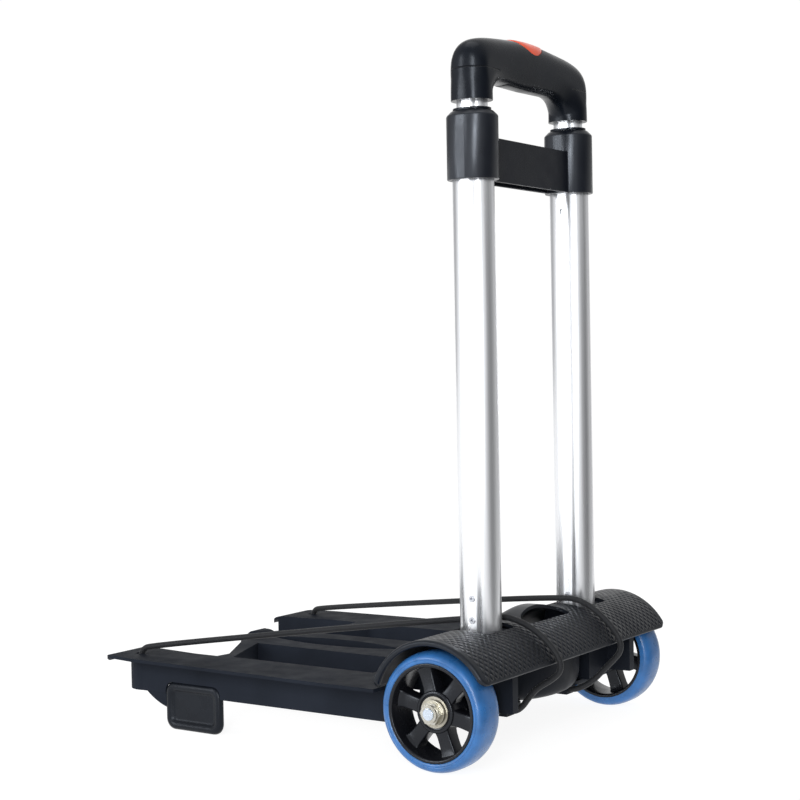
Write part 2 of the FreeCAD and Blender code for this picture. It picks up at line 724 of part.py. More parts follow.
def deck():
    top = (RIB_LOW, DECK_TOP - 1)
    pieces = [plate(), front_nub()]
    right = [skirt(), inner_wall(), buttress(), wall_round(side_gap(), SKIRT_T, top)]
    right += [knuckle(x) for x in KNUCKLES]
    right.append(box((42, 110), (-97, -94.5), (46, DECK_TOP - 1)))
    for piece in right:
        pieces += [piece, mirrored(piece)]
    pieces.append(wall_round(middle_gap(), SKIRT_T, top))
    body = fused(pieces)
    cuts = [foot_block(), rod(HINGE_PIN_R + RUNNING, (50, HINGE_Y, HINGE_Z), (109, HINGE_Y, HINGE_Z)),
            rod(CORD_R + 1.6, CORD_HOLE + (40,), CORD_HOLE + (80,)),
            raised(side_gap(), (20, 90))]
    for ear in EARS:
        cuts.append(box((ear[0] - EAR_GAP, ear[1] + EAR_GAP), (HINGE_Y - 9, DECK_REAR + 1), (20, 80)))
    for cut in cuts:
        body = body.cut(cut).cut(mirrored(cut))
    return body.cut(raised(middle_gap(), (20, 90)))


def cord_knot():
    """The knot that keeps a cord's end under the wing."""
    x, y = CORD_HOLE
    knot = Part.makeSphere(6, Vector(x, y, 53))
    return knot.common(box((x - 9, x + 9), (y - 9, y + 9), (40, 58.4)))


# ---- elastic cords -------------------------------------------------------------------------

CORD_POINTS = {
    "right": (
        (134.2, -348.4, 58.8), (134.0, -347.0, 68.5), (131.4, -335.6, 73.2), (55.6, -0.5, 115.2),
        (54.4, 17.6, 112.2), (52.8, 33.4, 104.8), (51.2, 46.4, 94.2), (50.0, 56.4, 81.2),
        (50.2, 57.8, 70.4), (51.2, 47.4, 61.6), (52.8, 36.0, 55.0), (53.8, 28.0, 46.2),
        (54.3, 21.4, 37.0), (54.0, 13.4, 32.0), (54.0, 4.4, 32.0),
    ),
    "left": (
        (-134.2, -348.4, 58.8), (-134.2, -346.8, 68.6), (-131.8, -335.4, 73.2), (-64.4, -0.5, 116.0),
        (-64.0, 17.8, 112.6), (-63.2, 33.4, 104.6), (-62.8, 46.4, 93.8), (-62.6, 56.6, 81.0),
        (-62.8, 57.8, 70.2), (-63.0, 49.0, 60.4), (-62.6, 39.6, 51.2), (-60.6, 30.8, 41.6),
        (-57.2, 21.8, 35.4), (-54.0, 13.4, 32.0), (-54.0, 4.4, 32.0),
    ),
}
CORD_SHARE = 0.45


def cord_path(points):
    """Straight runs joined by tangent arcs; also the arcs' radii and the whole length."""
    points = [Vector(*p) for p in points]
    edges, radii, here = [], [], points[0]
    for before, corner, after in zip(points, points[1:], points[2:]):
        into, out = (corner - before), (after - corner)
        back = CORD_SHARE * min(into.Length, out.Length)
        into.normalize()
        out.normalize()
        half_turn = into.getAngle(out) / 2
        radii.append(back / math.tan(half_turn))
        start, end = corner - into * back, corner + out * back
        inward = (out - into).normalize()
        middle = corner + inward * (back * math.tan(half_turn / 2))
        edges.append(Part.LineSegment(here, start).toShape())
        edges.append(Part.Arc(start, middle, end).toShape())
        here = end
    edges.append(Part.LineSegment(here, points[-1]).toShape())
    return Part.Wire(edges), radii


def cord(name):
    """One elastic cord as a round tube along its route."""
    path, radii = cord_path(CORD_POINTS[name])
    start = Vector(*CORD_POINTS[name][0])
    along = Vector(*CORD_POINTS[name][1]) - start
    section = Part.Wire([Part.Circle(start, along, CORD_R).toShape()])
    solid = path.makePipeShell([section], True, False)
    expected = math.pi * CORD_R ** 2 * path.Length
    print("cord", name, "length", round(path.Length, 1), "volume ratio", round(solid.Volume / expected, 4),
          "radii", [round(r, 1) for r in radii])
    return solid


# ---- all nodes -----------------------------------------------------------------------------

def save_pair(name, shape):
    """Write a right-hand piece and its left-hand mirror image."""
    for word, side in SIDES.items():
        save(name + "_" + word, for_side(shape, side))


def main():
    os.makedirs("parts", exist_ok=True)
    save("fender_housing", fender_housing())
    save("belly_cover", belly_cover())
    save("collar_bridge", collar_bridge())
    save("tube_rivets", tube_rivets())
    axle_parts()
    pins = rod(HINGE_PIN_R, (KNUCKLES[0][0], HINGE_Y, HINGE_Z), (KNUCKLES[2][1], HINGE_Y, HINGE_Z))
    save("deck_hinge_pins", both(pins))
    save_pair("axle_bracket", axle_bracket())
    save_pair("cord_anchor", cord_anchor())
    save_pair("outer_tube", outer_tube())
    save_pair("tube_plug", tube_plug())
    save_pair("outer_guide", guide(TUBE_T, TUBE_L, OUTER_TOP))
    save_pair("middle_tube", middle_tube())
    save_pair("middle_cap", middle_cap())
    save_pair("middle_guide", guide(MIDDLE_T, MIDDLE_L, COLLAR_Z[1]))
    save_pair("middle_lock_block", lock_block(MIDDLE_T, MIDDLE_L, MIDDLE_FOOT, MIDDLE_PIN_Z))
    save_pair("middle_lock_pin", lock_pin(TUBE_T, MIDDLE_PIN_Z))
    save_pair("inner_tube", stage_tube(INNER_T, INNER_L, INNER_FOOT, INNER_TOP, INNER_PIN_Z))
    save_pair("inner_lock_block", lock_block(INNER_T, INNER_L, INNER_FOOT, INNER_PIN_Z))
    save_pair("inner_lock_pin", lock_pin(MIDDLE_T, INNER_PIN_Z))
    save_pair("grip_leg", grip_leg())
    save("grip_shell", grip_shell())
    save("grip_underplate", grip_underplate())
    save("release_button", release_button())
    save("release_bar", release_bar())
    save_pair("release_rod", release_rod())
    save("button_springs", button_springs())
    save_pair("tyre", tyre())
    save_pair("rim", rim())
    save_pair("bearings", bearings())
    save("deck", deck())
    save_pair("foot", foot())
    save_pair("cord_knot", cord_knot())
    for name in SIDES:
        save("cord_" + name, cord(name))


main()
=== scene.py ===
"""Folding luggage cart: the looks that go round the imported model.

The scene is in metres with Z up. Lengths in the tables below are in mm unless a comment
says otherwise, and at() turns them into places in the scene.
"""

import json
import math

import bmesh
import bpy
from mathutils import Matrix, Vector


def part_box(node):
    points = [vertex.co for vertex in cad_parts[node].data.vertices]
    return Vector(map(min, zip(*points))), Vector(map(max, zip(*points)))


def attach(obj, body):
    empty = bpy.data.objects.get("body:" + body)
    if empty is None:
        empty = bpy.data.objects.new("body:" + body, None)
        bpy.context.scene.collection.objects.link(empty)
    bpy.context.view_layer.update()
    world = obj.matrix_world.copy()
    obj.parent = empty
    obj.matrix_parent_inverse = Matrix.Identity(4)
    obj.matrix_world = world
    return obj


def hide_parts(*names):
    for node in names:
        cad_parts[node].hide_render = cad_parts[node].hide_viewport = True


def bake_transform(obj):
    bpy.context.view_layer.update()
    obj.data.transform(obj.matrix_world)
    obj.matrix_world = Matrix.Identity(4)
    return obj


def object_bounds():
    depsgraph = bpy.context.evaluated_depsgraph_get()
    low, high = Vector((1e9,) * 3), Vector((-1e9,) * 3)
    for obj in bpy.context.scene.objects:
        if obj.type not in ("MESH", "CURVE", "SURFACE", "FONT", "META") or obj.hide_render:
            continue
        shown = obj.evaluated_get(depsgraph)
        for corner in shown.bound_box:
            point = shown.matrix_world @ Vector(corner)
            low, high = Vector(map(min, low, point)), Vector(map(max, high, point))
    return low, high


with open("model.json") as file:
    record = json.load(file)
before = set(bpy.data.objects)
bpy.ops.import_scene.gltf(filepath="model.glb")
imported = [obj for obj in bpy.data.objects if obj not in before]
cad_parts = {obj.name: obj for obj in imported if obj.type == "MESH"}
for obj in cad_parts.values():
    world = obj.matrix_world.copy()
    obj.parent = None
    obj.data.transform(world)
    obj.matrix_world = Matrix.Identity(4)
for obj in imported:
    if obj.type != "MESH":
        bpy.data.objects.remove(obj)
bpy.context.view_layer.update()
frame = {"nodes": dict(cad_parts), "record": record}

MM = 0.001
AXLE = sum(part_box("axle"), Vector()) / 2


def at(x, y, z):
    """A place in mm, with x and y from the middle of the axle and z from the floor."""
    return Vector((x * MM, AXLE.y + y * MM, z * MM))


# ---- camera --------------------------------------------------------------------------------

CAMERA_PLACE = at(1277.5, 733.1, 338.5)
CAMERA_AZIMUTH, CAMERA_ELEVATION, CAMERA_ROLL = 124.256, 1.426, -1.088
CAMERA_LENS, CAMERA_SENSOR = 74.16, 36


def make_camera():
    """The camera, whose place and turn were solved from the cart's wheels, tubes and platform."""
    a, e, r = (math.radians(v) for v in (CAMERA_AZIMUTH, CAMERA_ELEVATION, CAMERA_ROLL))
    back = Vector((math.sin(a) * math.cos(e), -math.cos(a) * math.cos(e), math.sin(e)))
    level = (-back).cross(Vector((0, 0, 1))).normalized()
    above = level.cross(-back)
    right = level * math.cos(r) + above * math.sin(r)
    up = above * math.cos(r) - level * math.sin(r)
    data = bpy.data.cameras.new("camera")
    data.lens, data.sensor_width = CAMERA_LENS, CAMERA_SENSOR
    data.clip_start, data.clip_end = 0.05, 100
    camera = bpy.data.objects.new("camera", data)
    turn = Matrix((right, up, back)).transposed().to_4x4()
    camera.matrix_world = Matrix.Translation(CAMERA_PLACE) @ turn
    bpy.context.scene.collection.objects.link(camera)
    bpy.context.scene.camera = camera


make_camera()


# ---- material building ---------------------------------------------------------------------

class NodeTree:
    """Short calls for the nodes of a material or of the world."""

    def __init__(self, tree):
        self.tree = tree

    def node(self, kind, **settings):
        made = self.tree.nodes.new(kind)
        for key, value in settings.items():
            setattr(made, key, value)
        return made

    def link(self, source, target):
        self.tree.links.new(source, target)

    def split(self, source):
        """The three numbers of a vector."""
        made = self.node("ShaderNodeSeparateXYZ")
        self.link(source, made.inputs["Vector"])
        return tuple(made.outputs)

    def range(self, source, low, high, start=0.3, stop=0.7):
        """Low where the source is at start, high where it is at stop, and straight between."""
        made = self.node("ShaderNodeMapRange")
        ends = (("From Min", start), ("From Max", stop), ("To Min", low), ("To Max", high))
        for key, value in ends:
            made.inputs[key].default_value = value
        self.link(source, made.inputs["Value"])
        return made.outputs["Result"]

    def math(self, operation, first, second=None):
        made = self.node("ShaderNodeMath", operation=operation)
        for socket, value in zip(made.inputs, (first, second)):
            if isinstance(value, (int, float)):
                socket.default_value = value
            elif value is not None:
                self.link(value, socket)
        return made.outputs["Value"]

    def mix(self, share, first, second):
        """A colour between two, each given as a colour or as the socket that makes it."""
        made = self.node("ShaderNodeMix", data_type="RGBA")
        colors = [socket for socket in made.inputs if socket.type == "RGBA"]
        for socket, value in zip(colors, (first, second)):
            if isinstance(value, tuple):
                socket.default_value = (*value, 1)
            else:
                self.link(value, socket)
        self.link(share, made.inputs["Factor"])
        return next(socket for socket in made.outputs if socket.type == "RGBA")


class Surface(NodeTree):
    """A principled material; its noises and patterns lie in the object's own place."""

    def __init__(self, name, color, rough, metal=0.0, **sockets):
        self.material = bpy.data.materials.new(name)
        self.material.use_nodes = True
        super().__init__(self.material.node_tree)
        self.shader = self.tree.nodes["Principled BSDF"]
        self.shader.inputs["Base Color"].default_value = (*color, 1)
        self.shader.inputs["Roughness"].default_value = rough
        self.shader.inputs["Metallic"].default_value = metal
        for socket, value in sockets.items():
            self.shader.inputs[socket.replace("_", " ")].default_value = value
        self.place = self.node("ShaderNodeTexCoord").outputs["Object"]
        self.bumped = None

    def stretched(self, scale):
        made = self.node("ShaderNodeMapping")
        made.inputs["Scale"].default_value = scale
        self.link(self.place, made.inputs["Vector"])
        return made.outputs["Vector"]

    def noise(self, scale, detail, stretch=None):
        made = self.node("ShaderNodeTexNoise")
        made.inputs["Scale"].default_value = scale
        made.inputs["Detail"].default_value = detail
        self.link(self.stretched(stretch) if stretch else self.place, made.inputs["Vector"])
        return made.outputs["Fac"]

    def cells(self, scale):
        made = self.node("ShaderNodeTexVoronoi")
        made.inputs["Scale"].default_value = scale
        self.link(self.place, made.inputs["Vector"])
        return made.outputs["Distance"]

    def rough(self, source, low, high):
        self.link(self.range(source, low, high), self.shader.inputs["Roughness"])

    def tint(self, source, first, second, start=0.35, stop=0.65):
        share = self.range(source, 0, 1, start, stop)
        self.link(self.mix(share, first, second), self.shader.inputs["Base Color"])

    def bump(self, source, strength, depth):
        """Adds height, in metres, over what is already bumped."""
        made = self.node("ShaderNodeBump")
        made.inputs["Strength"].default_value = strength
        made.inputs["Distance"].default_value = depth
        self.link(source, made.inputs["Height"])
        if self.bumped:
            self.link(self.bumped, made.inputs["Normal"])
        self.bumped = made.outputs["Normal"]
        self.link(self.bumped, self.shader.inputs["Normal"])


def times(color, factor):
    """The colour, darker or lighter by the factor."""
    return tuple(c * factor for c in color)


BLACK = (0.0058, 0.0070, 0.0098)
# The plastics' shine is kept low and a little cool
PLASTIC_SHINE = 0.08
PLASTIC_SHINE_TINT = (0.88, 0.93, 1.0, 1.0)


def moulded(name, color, rough, strength=0.25, **sockets):
    """Moulded plastic: fine spark grain, uneven gloss and a faint cloud in its colour."""
    sockets = {"Specular_IOR_Level": PLASTIC_SHINE, "Specular_Tint": PLASTIC_SHINE_TINT, **sockets}
    s = Surface(name, color, rough, **sockets)
    s.tint(s.noise(14, 3), times(color, 0.82), times(color, 1.2))
    s.rough(s.noise(55, 4), rough - 0.06, rough + 0.08)
    s.bump(s.noise(1500, 3), strength, 0.00012)
    s.bump(s.noise(22, 2), 0.08, 0.0012)
    return s


FENDER_R = 60.0
# Degrees up from the rear at which the fender's rear lip ends
LIP_DEG = 27.0
# Spacing of the fender's diamonds, and the height of their bump
DIAMOND, DIAMOND_RISE = 7.6, 1.1
# Degrees up from the rear at which they end in front, and how far out they reach
KNURL_FROM, KNURL_OUT = 112.0, 160.0


def knurled(name):
    """Housing plastic: small diamonds over the back of the fender, plain elsewhere."""
    s = moulded(name, times(BLACK, 1.1), 0.38, strength=0.12, Specular_IOR_Level=0.26)
    x, y, z = s.split(s.place)
    back, up = s.math("SUBTRACT", y, AXLE.y), s.math("SUBTRACT", z, AXLE.z)
    angle = s.math("ARCTAN2", up, back)
    along = s.math("MULTIPLY", angle, FENDER_R * MM)
    pitch = math.pi / (DIAMOND * MM)
    waves = [s.math("SINE", s.math("MULTIPLY", s.math(slant, x, along), pitch))
             for slant in ("ADD", "SUBTRACT")]
    diamonds = s.math("MULTIPLY", *[s.math("ABSOLUTE", wave) for wave in waves])
    radius = s.math("SQRT", s.math("ADD", s.math("POWER", back, 2), s.math("POWER", up, 2)))
    # The diamonds fade out inside the shell, up the finger hole's brow, and at all four edges
    mask = s.range(radius, 0, 1, (FENDER_R - 0.8) * MM, (FENDER_R - 0.3) * MM)
    for edge in (
        s.range(radius, 1, 0, (FENDER_R + 0.5) * MM, (FENDER_R + 1) * MM),
        s.range(angle, 1, 0, math.radians(KNURL_FROM), math.radians(KNURL_FROM + 2)),
        s.range(angle, 0, 1, math.radians(LIP_DEG + 2), math.radians(LIP_DEG + 4)),
        s.range(s.math("ABSOLUTE", x), 1, 0, KNURL_OUT * MM, (KNURL_OUT + 1) * MM),
    ):
        mask = s.math("MULTIPLY", mask, edge)
    s.bump(s.math("MULTIPLY", diamonds, mask), 1.0, DIAMOND_RISE * MM)
    return s


def extruded_aluminium():
    """Satin anodised tube: fine drawing lines along it, with a slow waver in the gloss."""
    s = Surface("tube_aluminium", (0.82, 0.83, 0.85), 0.3, metal=0.9)
    s.rough(s.noise(1, 2, stretch=(320, 320, 4)), 0.24, 0.38)
    s.bump(s.noise(1, 3, stretch=(2600, 2600, 9)), 0.06, 0.00004)
    s.tint(s.noise(1, 2, stretch=(60, 60, 3)), (0.80, 0.81, 0.83), (0.86, 0.87, 0.89))
    return s


def plated_steel(name, color, rough, stain):
    """Zinc plate: crystalline patches with a faint warm stain and fine scratches."""
    s = Surface(name, color, rough, metal=1.0)
    s.tint(s.noise(240, 4), color, stain)
    s.rough(s.cells(900), rough - 0.05, rough + 0.08)
    s.bump(s.noise(1600, 3), 0.04, 0.00002)
    return s


# Height of the seam round each leg of the grip, its half width and the depth of its bump
SEAM_Z, SEAM_HALF, SEAM_DEPTH = 582.0, 0.7, 1.1
# Across the cart, where the grip's legs and the collar's sleeves begin
LEG_FROM, SLEEVE_FROM = (64, 67), (60, 66)


def grip_skin():
    """Gloss plastic with the fine seam round each leg where the grip's two mouldings meet."""
    s = moulded("gloss_plastic", (0.0042, 0.0056, 0.0088), 0.27, strength=0.06,
                Specular_IOR_Level=0.2)
    x, _, z = s.split(s.place)
    away = s.math("ABSOLUTE", s.math("SUBTRACT", z, SEAM_Z * MM))
    groove = s.range(away, 1, 0, 0.1 * MM, SEAM_HALF * MM)
    on_leg = s.range(s.math("ABSOLUTE", x), 0, 1, LEG_FROM[0] * MM, LEG_FROM[1] * MM)
    s.bump(s.math("SUBTRACT", 1.0, s.math("MULTIPLY", groove, on_leg)), 1.0, SEAM_DEPTH * MM)
    return s


def collar_skin():
    """Gloss plastic, polished around the tubes and plain on the flat bridge between them."""
    s = moulded("collar_plastic", (0.0050, 0.0062, 0.0098), 0.3, strength=0.06)
    away = s.math("ABSOLUTE", s.split(s.place)[0])
    shine = s.range(away, 0.16, 0.5, SLEEVE_FROM[0] * MM, SLEEVE_FROM[1] * MM)
    s.link(shine, s.shader.inputs["Specular IOR Level"])
    return s


def polyurethane():
    """Tyre: glossy blue, a little cloudy, with fine scuffs on its tread."""
    blue = (0.023, 0.108, 0.288)
    s = Surface("tyre_blue", blue, 0.3, Coat_Weight=0.12, Coat_Roughness=0.15,
                Specular_IOR_Level=0.4, Subsurface_Weight=0.05, Subsurface_Scale=0.004)
    s.tint(s.noise(70, 4), times(blue, 0.86), times(blue, 1.14))
    s.rough(s.noise(180, 5), 0.24, 0.42)
    s.bump(s.noise(900, 3), 0.05, 0.00006)
    s.bump(s.noise(60, 2), 0.06, 0.0004)
    return s


def button_skin():
    """Release button: clear-coated orange with a slightly uneven gloss."""
    orange = (0.86, 0.085, 0.022)
    s = Surface("button_plastic", orange, 0.3, Coat_Weight=0.3, Coat_Roughness=0.12)
    s.tint(s.noise(90, 3), times(orange, 0.9), times(orange, 1.05))
    s.rough(s.noise(260, 3), 0.26, 0.4)
    s.bump(s.noise(1300, 2), 0.1, 0.00008)
    return s


# Strands round the cord, and the length in which they come round again
BRAID_STRANDS, BRAID_PITCH = 8, 2.6


def sheathed_cord():
    """Elastic cord: a braided sheath whose strands cross at a slant round the cord."""
    black = (0.0075, 0.008, 0.0095)
    s = Surface("cord_rubber", black, 0.55, Sheen_Weight=0.08, Sheen_Roughness=0.5,
                Specular_IOR_Level=0.25)
    around, along, _ = s.split(s.node("ShaderNodeTexCoord").outputs["UV"])
    turns = s.math("MULTIPLY", around, 2 * math.pi * BRAID_STRANDS)
    run = s.math("MULTIPLY", along, 2 * math.pi / (BRAID_PITCH * MM))
    strands = [s.math("SINE", s.math(slant, turns, run)) for slant in ("ADD", "SUBTRACT")]
    weave = s.math("MULTIPLY", *strands)
    s.tint(weave, times(black, 0.75), times(black, 1.5), -0.6, 0.8)
    s.bump(weave, 0.5, 0.00022)
    s.bump(s.noise(2200, 2), 0.2, 0.0001)
    return s


SURFACES = {
    "fender_plastic": knurled("fender_plastic"),
    "housing_plastic": moulded("housing_plastic", times(BLACK, 1.4), 0.42),
    "gloss_plastic": grip_skin(),
    "collar_plastic": collar_skin(),
    "foot_plastic": moulded("foot_plastic", BLACK, 0.28, strength=0.08,
                            Specular_IOR_Level=0.17),
    "nylon": moulded("nylon", (0.02, 0.021, 0.024), 0.45),
    "tube_aluminium": extruded_aluminium(),
    "rivet_aluminium": plated_steel("rivet_aluminium", (0.5, 0.51, 0.54), 0.3,
                                    (0.42, 0.43, 0.46)),
    "zinc_steel": plated_steel("zinc_steel", (0.56, 0.57, 0.58), 0.24, (0.52, 0.52, 0.50)),
    # The washers and bearings are painted darker than the plain zinc, and the nut a little darker,
    # as painted shade; the axle's end is painted lighter and bluish, as a painted reflection
    "washer_steel": plated_steel("washer_steel", (0.40, 0.38, 0.33), 0.34, (0.34, 0.32, 0.26)),
    "nut_steel": plated_steel("nut_steel", (0.50, 0.49, 0.45), 0.26, (0.42, 0.40, 0.34)),
    "axle_steel": plated_steel("axle_steel", (0.62, 0.69, 0.78), 0.2, (0.56, 0.63, 0.72)),
    "spring_steel": plated_steel("spring_steel", (0.5, 0.5, 0.52), 0.25, (0.4, 0.4, 0.41)),
    "button_plastic": button_skin(),
    "bar_plastic": moulded("bar_plastic", (0.02, 0.021, 0.024), 0.45),
    "tyre_blue": polyurethane(),
    "rim_plastic": moulded("rim_plastic", (0.0052, 0.0055, 0.0072), 0.24, strength=0.08,
                           Specular_IOR_Level=0.3),
    "deck_plastic": moulded("deck_plastic", times(BLACK, 1.9), 0.56, strength=0.3,
                            Specular_IOR_Level=0.035),
    "cord_rubber": sheathed_cord(),
}


def paint(obj, slot):
    """Gives the object one material in place of those it has."""
    obj.data.materials.clear()
    obj.data.materials.append(SURFACES[slot].material)


# ---- mesh building -------------------------------------------------------------------------

def smoothed(mesh, angle):
    """Shades the mesh smooth but for edges that turn by more than the angle."""
    mesh.shade_smooth()
    mesh.set_sharp_from_angle(angle=math.radians(angle))


def eased(obj, width, angle):
    """Rounds the edges where the object's faces turn by more than the angle."""
    bevel = obj.modifiers.new("bevel", "BEVEL")
    bevel.width, bevel.segments = width * MM, 2
    bevel.limit_method, bevel.angle_limit = "ANGLE", math.radians(angle)
    bevel.harden_normals = True


def place(name, mesh, slot, body, stands_for):
    """Makes a piece of a finished mesh and puts it on its body, if it has only one."""
    obj = bpy.data.objects.new(name, mesh)
    bpy.context.scene.collection.objects.link(obj)
    mesh.materials.append(SURFACES[slot].material)
    if body:
        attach(obj, body)
    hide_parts(*stands_for)
    return obj


def meshed(name, rings, closed=False, angle=40):
    """Quads over rings of points; closed joins the last ring to the first, else both get a cap."""
    count = len(rings[0])
    verts = [p for ring in rings for p in ring]
    steps = len(rings) if closed else len(rings) - 1
    faces = []
    for i in range(steps):
        j = (i + 1) % len(rings)
        faces += [(i * count + k, i * count + (k + 1) % count,
                   j * count + (k + 1) % count, j * count + k) for k in range(count)]
    if not closed:
        last = (len(rings) - 1) * count
        faces += [tuple(reversed(range(count))), tuple(range(last, last + count))]
    mesh = bpy.data.meshes.new(name)
    mesh.from_pydata(verts, [], faces)
    tidy = bmesh.new()
    tidy.from_mesh(mesh)
    bmesh.ops.recalc_face_normals(tidy, faces=tidy.faces)
    tidy.to_mesh(mesh)
    tidy.free()
    smoothed(mesh, angle)
    return mesh


def rounded_box(cx, cy, half_x, half_y, radius, steps=5):
    """A rectangle with round corners, as points."""
    points = []
    for quarter, (sx, sy) in enumerate(((1, 1), (-1, 1), (-1, -1), (1, -1))):
        for k in range(steps + 1):
            t = math.radians(90 * quarter + 90 * k / steps)
            points.append((cx + sx * (half_x - radius) + radius * math.cos(t),
                           cy + sy * (half_y - radius) + radius * math.sin(t)))
    return points


def prism(outline, low, high):
    """An upright prism on a plan outline."""
    return meshed("prism", [[at(x, y, z) for x, y in outline] for z in (low, high)])


def cut_from(obj, mesh, operation="DIFFERENCE"):
    """Takes a closed mesh away from the object's mesh, or by UNION adds it, for good."""
    tool = bpy.data.objects.new("tool", mesh)
    bpy.context.scene.collection.objects.link(tool)
    cut = obj.modifiers.new("cut", "BOOLEAN")
    cut.operation, cut.object, cut.solver = operation, tool, "EXACT"
    bpy.context.view_layer.update()
    done = obj.evaluated_get(bpy.context.evaluated_depsgraph_get())
    done = bpy.data.meshes.new_from_object(done)
    obj.modifiers.remove(cut)
    obj.data = done
    bpy.data.objects.remove(tool)


def joined(obj, mesh):
    """Adds a closed mesh to the object's mesh, with no faces left inside."""
    cut_from(obj, mesh, "UNION")


# ---- cords ---------------------------------------------------------------------------------

CORD_D = 5.5
CORD_AROUND = 20
CORD_STEP = 1.6
# Control points of a curve from the knot in the platform's tip, over the fender, down behind it
# and forward to the anchor under the belly
CORD_ROUTES = {
    "right": (
        (134.2, -348.4, 58.8), (134.0, -347.0, 68.5), (131.4, -335.6, 73.2),
        (55.6, -0.5, 115.2), (54.4, 17.6, 112.2), (52.8, 33.4, 104.8), (51.2, 46.4, 94.2),
        (50.0, 56.4, 81.2), (50.2, 57.8, 70.4), (51.2, 47.4, 61.6), (52.8, 36.0, 55.0),
        (53.8, 28.0, 46.2), (54.3, 21.4, 37.0), (54.0, 13.4, 32.0), (54.0, 4.4, 32.0),
    ),
    "left": (
        (-134.2, -348.4, 58.8), (-134.2, -346.8, 68.6), (-131.8, -335.4, 73.2),
        (-64.4, -0.5, 116.0), (-64.0, 17.8, 112.6), (-63.2, 33.4, 104.6), (-62.8, 46.4, 93.8),
        (-62.6, 56.6, 81.0), (-62.8, 57.8, 70.2), (-63.0, 49.0, 60.4), (-62.6, 39.6, 51.2),
        (-60.6, 30.8, 41.6), (-57.2, 21.8, 35.4), (-54.0, 13.4, 32.0), (-54.0, 4.4, 32.0),
    ),
}


def route_points(name, route):
    """Points close together along the smooth curve that the route's points control."""
    data = bpy.data.curves.new(name, "CURVE")
    data.dimensions = "3D"
    spline = data.splines.new("NURBS")
    spline.points.add(len(route) - 1)
    for point, (x, y, z) in zip(spline.points, route):
        point.co = (*at(x, y, z), 1)
    spline.order_u, spline.use_endpoint_u, spline.resolution_u = 3, True, 16
    curve = bpy.data.objects.new(name, data)
    bpy.context.scene.collection.objects.link(curve)
    bpy.context.view_layer.update()
    mesh = bpy.data.meshes.new_from_object(curve)
    points = [v.co.copy() for v in mesh.vertices]
    bpy.data.objects.remove(curve)
    bpy.data.curves.remove(data)
    bpy.data.meshes.remove(mesh)
    return evenly(points, CORD_STEP * MM)


def evenly(points, step):
    """The same line with points about one step apart."""
    lengths = [0.0]
    for a, b in zip(points, points[1:]):
        lengths.append(lengths[-1] + (b - a).length)
    count = max(2, round(lengths[-1] / step))
    even, k = [], 0
    for i in range(count + 1):
        want = lengths[-1] * i / count
        while k < len(points) - 2 and lengths[k + 1] < want:
            k += 1
        share = (want - lengths[k]) / max(lengths[k + 1] - lengths[k], 1e-9)
        even.append(points[k].lerp(points[k + 1], min(1.0, share)))
    return even


def length_of(points):
    """The length of the line through the points."""
    return sum((b - a).length for a, b in zip(points, points[1:]))


def tube_mesh(name, points, radius, around):
    """A tube along the points, with its UVs running round and along it in metres."""
    heading = (points[1] - points[0]).normalized()
    side = heading.orthogonal().normalized()
    rings = []
    for i, p in enumerate(points):
        ahead = (points[min(i + 1, len(points) - 1)] - points[max(i - 1, 0)]).normalized()
        side = (side - ahead * side.dot(ahead)).normalized()
        across = ahead.cross(side)
        rings.append([p + (side * math.cos(t) + across * math.sin(t)) * radius
                      for t in (2 * math.pi * k / around for k in range(around))])
    mesh = meshed(name, rings)
    layer = mesh.uv_layers.new(name="UVMap")
    step = length_of(points) / (len(points) - 1)
    for face in mesh.polygons:
        rounds = [mesh.loops[i].vertex_index % around for i in face.loop_indices]
        wraps = max(rounds) - min(rounds) > around / 2 and len(rounds) == 4
        for i, k in zip(face.loop_indices, rounds):
            turn = (k + around if wraps and k < around / 2 else k) / around
            layer.data[i].uv = (turn, mesh.loops[i].vertex_index // around * step)
    return mesh


def make_cord(side):
    """One elastic cord, a fixed tube from the platform's tip over the fender to the belly."""
    points = route_points(f"route_{side}", CORD_ROUTES[side])
    name = f"elastic_cord_{side}"
    mesh = tube_mesh(name, points, CORD_D / 2 * MM, CORD_AROUND)
    cord = place(name, mesh, "cord_rubber", None, (f"cord_{side}",))
    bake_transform(cord)


for side in CORD_ROUTES:
    make_cord(side)


# ---- grip ----------------------------------------------------------------------------------

# Top of the grip in the middle, the underside there, and the half depth
CROWN_Z, ROOF_Z, CROWN_DEPTH = 615.8, 573.3, 16.0
# Fall of the crown per square of the distance from the middle
CROWN_FALL = 0.00173
GRIP_SECTIONS = (
    # outer x, z; inner x, z; half depth; how far the section is flat-sided and round-ended
    ((100.35, 555.2), (69.05, 555.2), 18.25, 1.0),
    ((100.35, 566), (68.95, 557.2), 18.25, 1.0),
    ((100.35, 577), (68.4, 559.8), 18.2, 1.0),
    ((100.1, 587), (67, 562.8), 18.0, 0.92),
    ((98.6, 595.6), (64.2, 566), 17.7, 0.78),
    ((94.4, 602.3), (60, 568.9), 17.3, 0.62),
    ((86.5, 606.9), (54.2, 571.2), 16.9, 0.47),
    ((73, 610.1), (47, 572.8), 16.6, 0.32),
    ((55, 612.2), (38, 573.7), 16.3, 0.2),
    ((35, 614.0), (26, 573.9), 16.1, 0.1),
    ((17, 615.3), (12.7, 573.5), CROWN_DEPTH, 0.0),
    ((0, CROWN_Z), (0, ROOF_Z), CROWN_DEPTH, 0.0),
)
GRIP_AROUND = 56
# The power of the superellipse that the grip's section is in the middle
GRIP_POWER = 2.3
BUTTON_HALF, BUTTON_HALF_WIDTH, BUTTON_GAP = 27.0, 14.5, 0.45
BUTTON_AROUND = 96
# Floor of the button's pocket, a height clear of the grip, and the button's underside at rest
POCKET_Z, CLEAR_Z, BUTTON_LOW_Z = 593, 640, 598.0


def rounded_square(angle, power):
    """A point on a superellipse of unit half size."""
    c, s = math.cos(angle), math.sin(angle)
    return (math.copysign(abs(c) ** (2 / power), c), math.copysign(abs(s) ** (2 / power), s))


